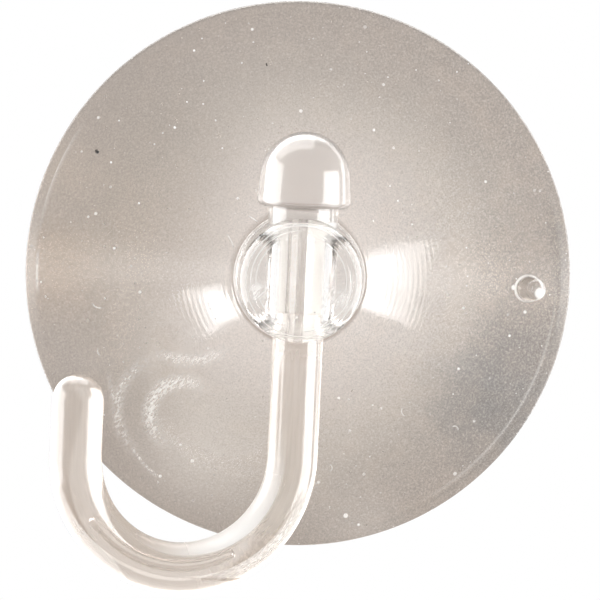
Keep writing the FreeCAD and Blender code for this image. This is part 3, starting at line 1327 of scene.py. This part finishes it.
@dataclass
class HookMoulding:
    """Rigid moulding: domed head, shank, rod, bend and tip in one piece. Sizes in millimetres."""

    axis_h: float
    knob_top: float
    head_gap: float = 0.9
    head_h: float = 8.05
    head_crown: float = 4.75
    head_draft: float = 4.3
    head_round: float = 0.8
    shank_r: float = 3.7
    shank_len: float = 11.2
    shank_round: float = 0.4
    rod_r: float = 2.7
    bend_r: float = 11.85
    bend_drop: float = 19.0
    tip_len: float = 5.7
    rest_turn: float = 17.0
    void_d: float = 0.85
    void_inset: float = 0.15
    void_start: float = 34.0
    void_sweep: float = 83.0
    turns: int = 112
    void_turns: int = 24
    edge_ring: float = 0.06
    sharp_deg: float = 40.0

    @property
    def head_base(self) -> float:
        """Height of the head's lower face above the bore's axis, clear of the knob."""
        return self.knob_top + self.head_gap

    def outline(self) -> list[Point]:
        """Draws half the section of the head and shank.

        A narrow ring beside a sharp corner keeps the shading of the flat next to it even.

        Returns:
            Radius and height of each point, from the dome's top to the rod.
        """
        dome_z = self.head_base + self.head_h - self.head_crown
        draft = math.radians(self.head_draft)
        side = (self.head_crown * math.cos(draft), dome_z + self.head_crown * math.sin(draft))
        base_r = side[0] + (side[1] - self.head_base) * math.tan(draft)
        foot_z = self.head_base - self.shank_len
        points = arc((0.0, dome_z), self.head_crown, 90.0, self.head_draft, 36)
        corner = (base_r, self.head_base)
        points += stretch(side, corner, 8)[:-3]
        points += rounded(side, corner, (self.shank_r, self.head_base), self.head_round, 12)
        points += [(self.shank_r + self.edge_ring, self.head_base), (self.shank_r, self.head_base)]
        points += stretch(points[-1], (self.shank_r, foot_z), 20)[:-1]
        shoulder = ((self.shank_r, self.head_base), (self.shank_r, foot_z), (self.rod_r, foot_z))
        points += rounded(*shoulder, self.shank_round, 6)
        points += [(self.rod_r + self.edge_ring, foot_z), (self.rod_r, foot_z)]
        return points

    def grow(
        self, build: bmesh.types.BMesh, ring: list[bmesh.types.BMEdge], move: Matrix
    ) -> list[bmesh.types.BMEdge]:
        """Extrudes an open ring and moves its new edge.

        Args:
            build: mesh to add to.
            ring: edges of the open end.
            move: where the new edge goes.

        Returns:
            The new open ring.
        """
        made = bmesh.ops.extrude_edge_only(build, edges=ring)["geom"]
        verts = [item for item in made if isinstance(item, bmesh.types.BMVert)]
        bmesh.ops.transform(build, matrix=move, verts=verts)
        return [item for item in made if isinstance(item, bmesh.types.BMEdge) and item.is_boundary]

    def rod(self, build: bmesh.types.BMesh) -> None:
        """Carries the open lower end of the shank down, round the bend and up to the tip.

        Args:
            build: mesh of the head and shank, open below.
        """
        foot_z = self.head_base - self.shank_len
        ring = [edge for edge in build.edges if edge.is_boundary]
        down_steps = 24
        step = (foot_z + self.bend_drop) / down_steps * MM
        for _ in range(down_steps):
            ring = self.grow(build, ring, Matrix.Translation((0, 0, -step)))
        bend_steps = 120
        centre = Vector((-self.bend_r * MM, 0, -self.bend_drop * MM))
        turn = Matrix.Rotation(math.pi / bend_steps, 4, "Y")
        move = Matrix.Translation(centre) @ turn @ Matrix.Translation(-centre)
        for _ in range(bend_steps):
            ring = self.grow(build, ring, move)
        up_steps = 10
        for _ in range(up_steps):
            ring = self.grow(build, ring, Matrix.Translation((0, 0, self.tip_len * MM / up_steps)))
        tip = Vector((-2.0 * self.bend_r * MM, 0, (self.tip_len - self.bend_drop) * MM))
        tip_steps = 24
        before = (1.0, 0.0)
        for k in range(1, tip_steps):
            angle = math.pi / 2.0 * k / tip_steps
            now = (math.cos(angle), math.sin(angle))
            share = now[0] / before[0]
            level = Matrix.Translation(tip + Vector((0, 0, before[1] * self.rod_r * MM)))
            rise = Matrix.Translation((0, 0, (now[1] - before[1]) * self.rod_r * MM))
            shrink = Matrix.Diagonal((share, share, 1.0, 1.0))
            ring = self.grow(build, ring, rise @ level @ shrink @ level.inverted())
            before = now
        pole = bmesh.ops.extrude_edge_only(build, edges=ring)["geom"]
        last = [item for item in pole if isinstance(item, bmesh.types.BMVert)]
        bmesh.ops.pointmerge(build, verts=last, merge_co=tip + Vector((0, 0, self.rod_r * MM)))

    def straightened(self, place: Vector) -> Vector:
        """Gives the place that a point would have if the rod ran straight down.

        Args:
            place: a point in the hook's own plane, in metres.

        Returns:
            The same point with the bend rolled out, so that a pattern can follow the rod.
        """
        middle = Vector((-self.bend_r * MM, 0.0, -self.bend_drop * MM))
        off = place - middle
        if off.z >= 0.0 and off.x >= 0.0:
            return place.copy()
        if off.z >= 0.0:
            turned = math.pi
            rise = off.z
            out = -off.x
        else:
            turned = math.atan2(-off.z, off.x)
            rise = 0.0
            out = math.hypot(off.x, off.z)
        return Vector((out - self.bend_r * MM, place.y, middle.z - self.bend_r * MM * turned - rise))

    def bubble(self) -> bmesh.types.BMesh:
        """Makes the long bubble in the bend, turned inside out so that it is a hollow.

        Returns:
            The bubble's wall.
        """
        radius = self.void_d / 2.0 * MM
        line_r = (self.bend_r - self.void_inset) * MM
        cap_steps = 8
        cap = arc((0.0, 0.0), radius, 90.0, 0.0, cap_steps)
        build = lathe([Vector((x, 0.0, y)) for x, y in cap], (0, 0, 1), self.void_turns)
        start = math.radians(self.void_start)
        sweep = math.radians(self.void_sweep)
        centre = Matrix.Translation((-self.bend_r * MM, 0, -self.bend_drop * MM))
        out = Matrix.Translation((-line_r, 0, 0))
        seat = centre @ Matrix.Rotation(-start, 4, "Y") @ out
        bmesh.ops.transform(build, matrix=seat, verts=build.verts)
        steps = 60
        move = centre @ Matrix.Rotation(-sweep / steps, 4, "Y") @ centre.inverted()
        ring = [edge for edge in build.edges if edge.is_boundary]
        for _ in range(steps):
            ring = self.grow(build, ring, move)
        end = centre @ Matrix.Rotation(-start - sweep, 4, "Y") @ out
        for k in range(1, cap_steps):
            angle = math.pi / 2.0 * k / cap_steps
            last = math.pi / 2.0 * (k - 1) / cap_steps
            share = math.cos(angle) / math.cos(last)
            shrink = Matrix.Diagonal((share, share, 1.0, 1.0))
            rise = Matrix.Translation((0, 0, -(math.sin(angle) - math.sin(last)) * radius))
            ring = self.grow(build, ring, end @ rise @ shrink @ end.inverted())
        bmesh.ops.holes_fill(build, edges=ring, sides=0)
        bmesh.ops.recalc_face_normals(build, faces=build.faces)
        bmesh.ops.reverse_faces(build, faces=build.faces)
        return build

    def make(self, material: bpy.types.Material) -> bpy.types.Object:
        """Builds and dresses the whole moulding.

        Args:
            material: its finish.

        Returns:
            The finished piece.
        """
        line = [Vector((r * MM, 0.0, z * MM)) for r, z in self.outline()]
        build = lathe(line, (0, 0, 1), self.turns)
        self.rod(build)
        bmesh.ops.remove_doubles(build, verts=build.verts, dist=1e-8)
        bmesh.ops.recalc_face_normals(build, faces=build.faces)
        hollow = self.bubble()
        for part, mark in ((build, 0.0), (hollow, 1.0)):
            wall = part.verts.layers.float.new(BUBBLE_MARK)
            flow = part.verts.layers.float_vector.new(FLOW_PLACE)
            for vert in part.verts:
                vert[wall] = mark
                vert[flow] = self.straightened(vert.co)
        inner = bpy.data.meshes.new("bend_bubble")
        hollow.to_mesh(inner)
        hollow.free()
        build.from_mesh(inner)
        bpy.data.meshes.remove(inner)
        turn = Matrix.Rotation(math.radians(self.rest_turn), 4, "Z")
        place = Matrix.Translation((0, -self.axis_h * MM, 0)) @ turn
        bmesh.ops.transform(build, matrix=place, verts=build.verts)
        piece = finish_mesh("hook_moulding", build, self.sharp_deg)
        piece.data.materials.append(material)
        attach(piece, Body.HOOK.value)
        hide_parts("hook")
        return piece


@dataclass
class PhotoCamera:
    """Camera at the photograph's viewing angle, about 350 mm from the cup."""

    distance_mm: float = 350.0
    azimuth: float = 1.15
    elevation: float = 2.33
    roll: float = 2.6
    image_px: float = 600.0
    px_per_mm: float = 9.06
    cup_centre_px: Point = (298.1, 274.0)
    sensor_mm: float = 36.0

    def make(self) -> bpy.types.Object:
        """Adds the camera and makes it the scene's own.

        Returns:
            The camera.
        """
        az = math.radians(self.azimuth)
        el = math.radians(self.elevation)
        forward = Vector((math.sin(az) * math.cos(el), math.cos(az) * math.cos(el), -math.sin(el)))
        place = -forward * self.distance_mm
        right, up = self.sides(forward)
        middle = self.image_px / 2.0
        aside = (middle - self.cup_centre_px[0]) / self.px_per_mm
        below = (middle - self.cup_centre_px[1]) / self.px_per_mm
        target = right * aside - up * below
        look = (target - place).normalized()
        right, up = self.sides(look)
        turn = Matrix((right, up, -look)).transposed()
        lens = bpy.data.cameras.new("photo_camera")
        lens.sensor_width = self.sensor_mm
        lens.lens = self.px_per_mm * self.distance_mm / self.image_px * self.sensor_mm
        lens.clip_start = 0.01
        camera = bpy.data.objects.new("photo_camera", lens)
        camera.matrix_world = Matrix.Translation(place * MM) @ turn.to_4x4()
        bpy.context.scene.collection.objects.link(camera)
        bpy.context.scene.camera = camera
        return camera

    def sides(self, look: Vector) -> tuple[Vector, Vector]:
        """Works out how the picture is turned for a line of sight, with the camera's roll.

        Args:
            look: the line of sight.

        Returns:
            The picture's right and its up.
        """
        level = look.cross(Vector((0, 0, 1))).normalized()
        above = level.cross(look)
        roll = math.radians(self.roll)
        right = level * math.cos(roll) + above * math.sin(roll)
        up = above * math.cos(roll) - level * math.sin(roll)
        return right, up


@dataclass(frozen=True)
class FarPanel:
    """A rectangular panel of light half a metre off, which faces the cup."""

    name: str
    polar: float
    round_deg: float
    size_mm: Point
    glow: float
    rays: Rays = Rays.ALL
    away: float = 0.5

    def seat(self, floor_z: float) -> Matrix:
        """Places the panel on a sphere round the cup.

        Args:
            floor_z: the floor's height, in metres, which a far panel doesn't need.

        Returns:
            The panel's matrix.
        """
        tilt = math.radians(self.polar)
        turn = math.radians(self.round_deg)
        out = Vector((math.sin(tilt) * math.cos(turn), -math.cos(tilt), math.sin(tilt) * math.sin(turn)))
        across = Vector((-math.sin(turn), 0.0, math.cos(turn)))
        side = across.cross(out).normalized()
        return Matrix.Translation(out * self.away) @ Matrix((side, across, out)).transposed().to_4x4()


@dataclass(frozen=True)
class LevelPanel:
    """A level panel of light close to the hook, which shows in its gloss alone."""

    name: str
    middle_mm: Point
    above_floor_mm: float
    size_mm: Point
    glow: float
    faces_up: bool = True
    rays: Rays = Rays.SHINE

    def seat(self, floor_z: float) -> Matrix:
        """Places the panel above the floor.

        Args:
            floor_z: the floor's height, in metres.

        Returns:
            The panel's matrix.
        """
        middle = Vector((*self.middle_mm, self.above_floor_mm)) * MM
        turn = Matrix.Rotation(math.pi if self.faces_up else 0.0, 4, "X")
        return Matrix.Translation(middle + Vector((0.0, 0.0, floor_z))) @ turn


@dataclass
class Studio:
    """White surroundings, side windows of light, glowing edges and a pale floor."""

    ambient: float = 0.95
    floor_drop_mm: float = 14.0
    floor_mm: float = 180.0
    floor_front_mm: float = 35.0
    windows: tuple[FarPanel, ...] = (
        FarPanel("right_window", 28.9, -5.5, (80.0, 186.0), 6.0),
        FarPanel("right_window_core", 27.4, -7.0, (48.0, 150.0), 8.0),
        FarPanel("left_window", 28.2, 207.5, (45.0, 114.0), 8.0),
        FarPanel("left_window_core", 27.4, 208.5, (26.0, 80.0), 8.0),
    )
    cup_panels: tuple[FarPanel, ...] = (
        FarPanel("right_strip", 47.5, -2.3, (520.0, 45.0), 17.0, Rays.THROUGH),
        FarPanel("left_strip", 47.5, 183.5, (520.0, 30.0), 20.0, Rays.THROUGH),
        FarPanel("knob_edge_right", 100.0, 0.0, (560.0, 900.0), 5.0, Rays.SHINE),
        FarPanel("knob_edge_top", 100.0, 90.0, (560.0, 900.0), 5.0, Rays.CLEAR),
        FarPanel("knob_edge_left", 100.0, 180.0, (560.0, 900.0), 5.0, Rays.SHINE),
        FarPanel("knob_edge_low", 100.0, 270.0, (560.0, 900.0), 5.0, Rays.CLEAR),
    )
    hook_panels: tuple[FarPanel | LevelPanel, ...] = (
        FarPanel("right_softbox", 70.0, -8.0, (450.0, 400.0), 9.5, Rays.CLEAR),
        FarPanel("right_edge", 133.0, 0.0, (440.0, 400.0), 5.0, Rays.CLEAR),
        FarPanel("left_softbox", 104.0, 184.0, (960.0, 700.0), 7.0, Rays.CLEAR),
        FarPanel("upper_left_edge", 135.0, 132.0, (480.0, 400.0), 4.5, Rays.SHINE),
        FarPanel("top_edge", 135.0, 90.0, (480.0, 400.0), 3.5, Rays.SHINE),
        FarPanel("upper_right_edge", 140.0, 47.0, (450.0, 360.0), 3.0, Rays.SHINE),
        LevelPanel("low_panel", (-91.0, 40.0), 1.0, (140.0, 150.0), 3.0),
        LevelPanel("under_panel", (-44.0, 40.0), 2.0, (90.0, 150.0), 3.2),
        LevelPanel("low_right_panel", (47.0, 5.0), 1.5, (88.0, 90.0), 4.0),
        LevelPanel("tip_window", (-22.0, 25.0), 92.544, (60.0, 100.0), 4.0, False),
    )

    def world(self) -> None:
        """Sets the world: white to the eye and behind clear plastic, softer as a light."""
        world = bpy.data.worlds.new("white_studio")
        bpy.context.scene.world = world
        world.use_nodes = True
        tree = world.node_tree
        tree.nodes.clear()
        rays = add_node(tree, "LightPath").outputs
        seen = (rays["Is Camera Ray"], rays["Is Glossy Ray"])
        seen = add_node(tree, "Math", seen, operation="ADD", use_clamp=True)
        seen = (seen, rays["Is Transmission Ray"])
        seen = add_node(tree, "Math", seen, operation="ADD", use_clamp=True)
        strength = add_node(tree, "MapRange", {"Value": seen, "To Min": self.ambient, "To Max": 1.0})
        sky = add_node(tree, "Background", {"Color": (1.0, 1.0, 1.0, 1.0), "Strength": strength})
        add_node(tree, "OutputWorld", {"Surface": sky})

    def lamp(self, panel: FarPanel | LevelPanel, floor_z: float, lit: bpy.types.Collection) -> None:
        """Adds one panel of light.

        Args:
            panel: the panel.
            floor_z: the floor's height, in metres.
            lit: the pieces that it lights, and nothing else.
        """
        data = bpy.data.lights.new(panel.name, "AREA")
        data.shape = "RECTANGLE"
        data.size = panel.size_mm[0] * MM
        data.size_y = panel.size_mm[1] * MM
        data.energy = panel.glow * math.pi * data.size * data.size_y
        lamp = bpy.data.objects.new(panel.name, data)
        lamp.matrix_world = panel.seat(floor_z)
        lamp.visible_camera = False
        lamp.visible_diffuse, lamp.visible_glossy, lamp.visible_transmission = panel.rays.value
        lamp.light_linking.receiver_collection = lit
        bpy.context.scene.collection.objects.link(lamp)

    def light(self, cup: bpy.types.Object, hook: bpy.types.Object, floor: bpy.types.Object) -> int:
        """Adds all the panels of light, each group for its own pieces.

        Args:
            cup: the cup's piece.
            hook: the hook's piece.
            floor: the floor.

        Returns:
            How many panels there are.
        """
        floor_z = floor.data.vertices[0].co.z
        groups = ((self.windows, (cup, floor)), (self.cup_panels, (cup,)), (self.hook_panels, (hook,)))
        for panels, pieces in groups:
            lit = bpy.data.collections.new(f"lit_by_{panels[0].name}")
            for piece in pieces:
                lit.objects.link(piece)
            for panel in panels:
                self.lamp(panel, floor_z, lit)
        return len(bpy.data.lights)

    def floor(self, under: float, material: bpy.types.Material) -> bpy.types.Object:
        """Lays the floor below the object.

        Args:
            under: the object's lowest height, in metres.
            material: the floor's finish.

        Returns:
            The floor.
        """
        build = bmesh.new()
        place = Matrix.Translation((0, -self.floor_front_mm * MM, under - self.floor_drop_mm * MM))
        radius = self.floor_mm / 2.0 * MM
        bmesh.ops.create_circle(build, cap_ends=True, segments=96, radius=radius, matrix=place)
        floor = finish_mesh("floor", build, sharp_deg=30.0)
        floor.data.materials.append(material)
        floor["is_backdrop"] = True
        return floor


def main() -> None:
    """Builds the pieces and their surroundings in order."""
    logging.basicConfig(level=logging.INFO, format="%(name)s: %(message)s")
    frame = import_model()
    cad_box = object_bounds()
    LOG.info("nodes %s", sorted(frame["nodes"]))
    cup = CupMoulding()
    cup_piece = cup.make(SoftPvcFinish().make())
    LOG.info("%s: %d faces", cup_piece.name, len(cup_piece.data.polygons))
    hook = HookMoulding(axis_h=cup.axis_h, knob_top=cup.knob_top)
    hook_piece = hook.make(ClearPlasticFinish().make())
    LOG.info("%s: %d faces", hook_piece.name, len(hook_piece.data.polygons))
    PhotoCamera().make()
    studio = Studio()
    studio.world()
    floor = studio.floor(cad_box[0][2], PaintedFloor().make())
    LOG.info("studio: %d panels of light", studio.light(cup_piece, hook_piece, floor))
    bpy.context.scene.view_settings.view_transform = "Standard"


if __name__ == "__main__":
    main()
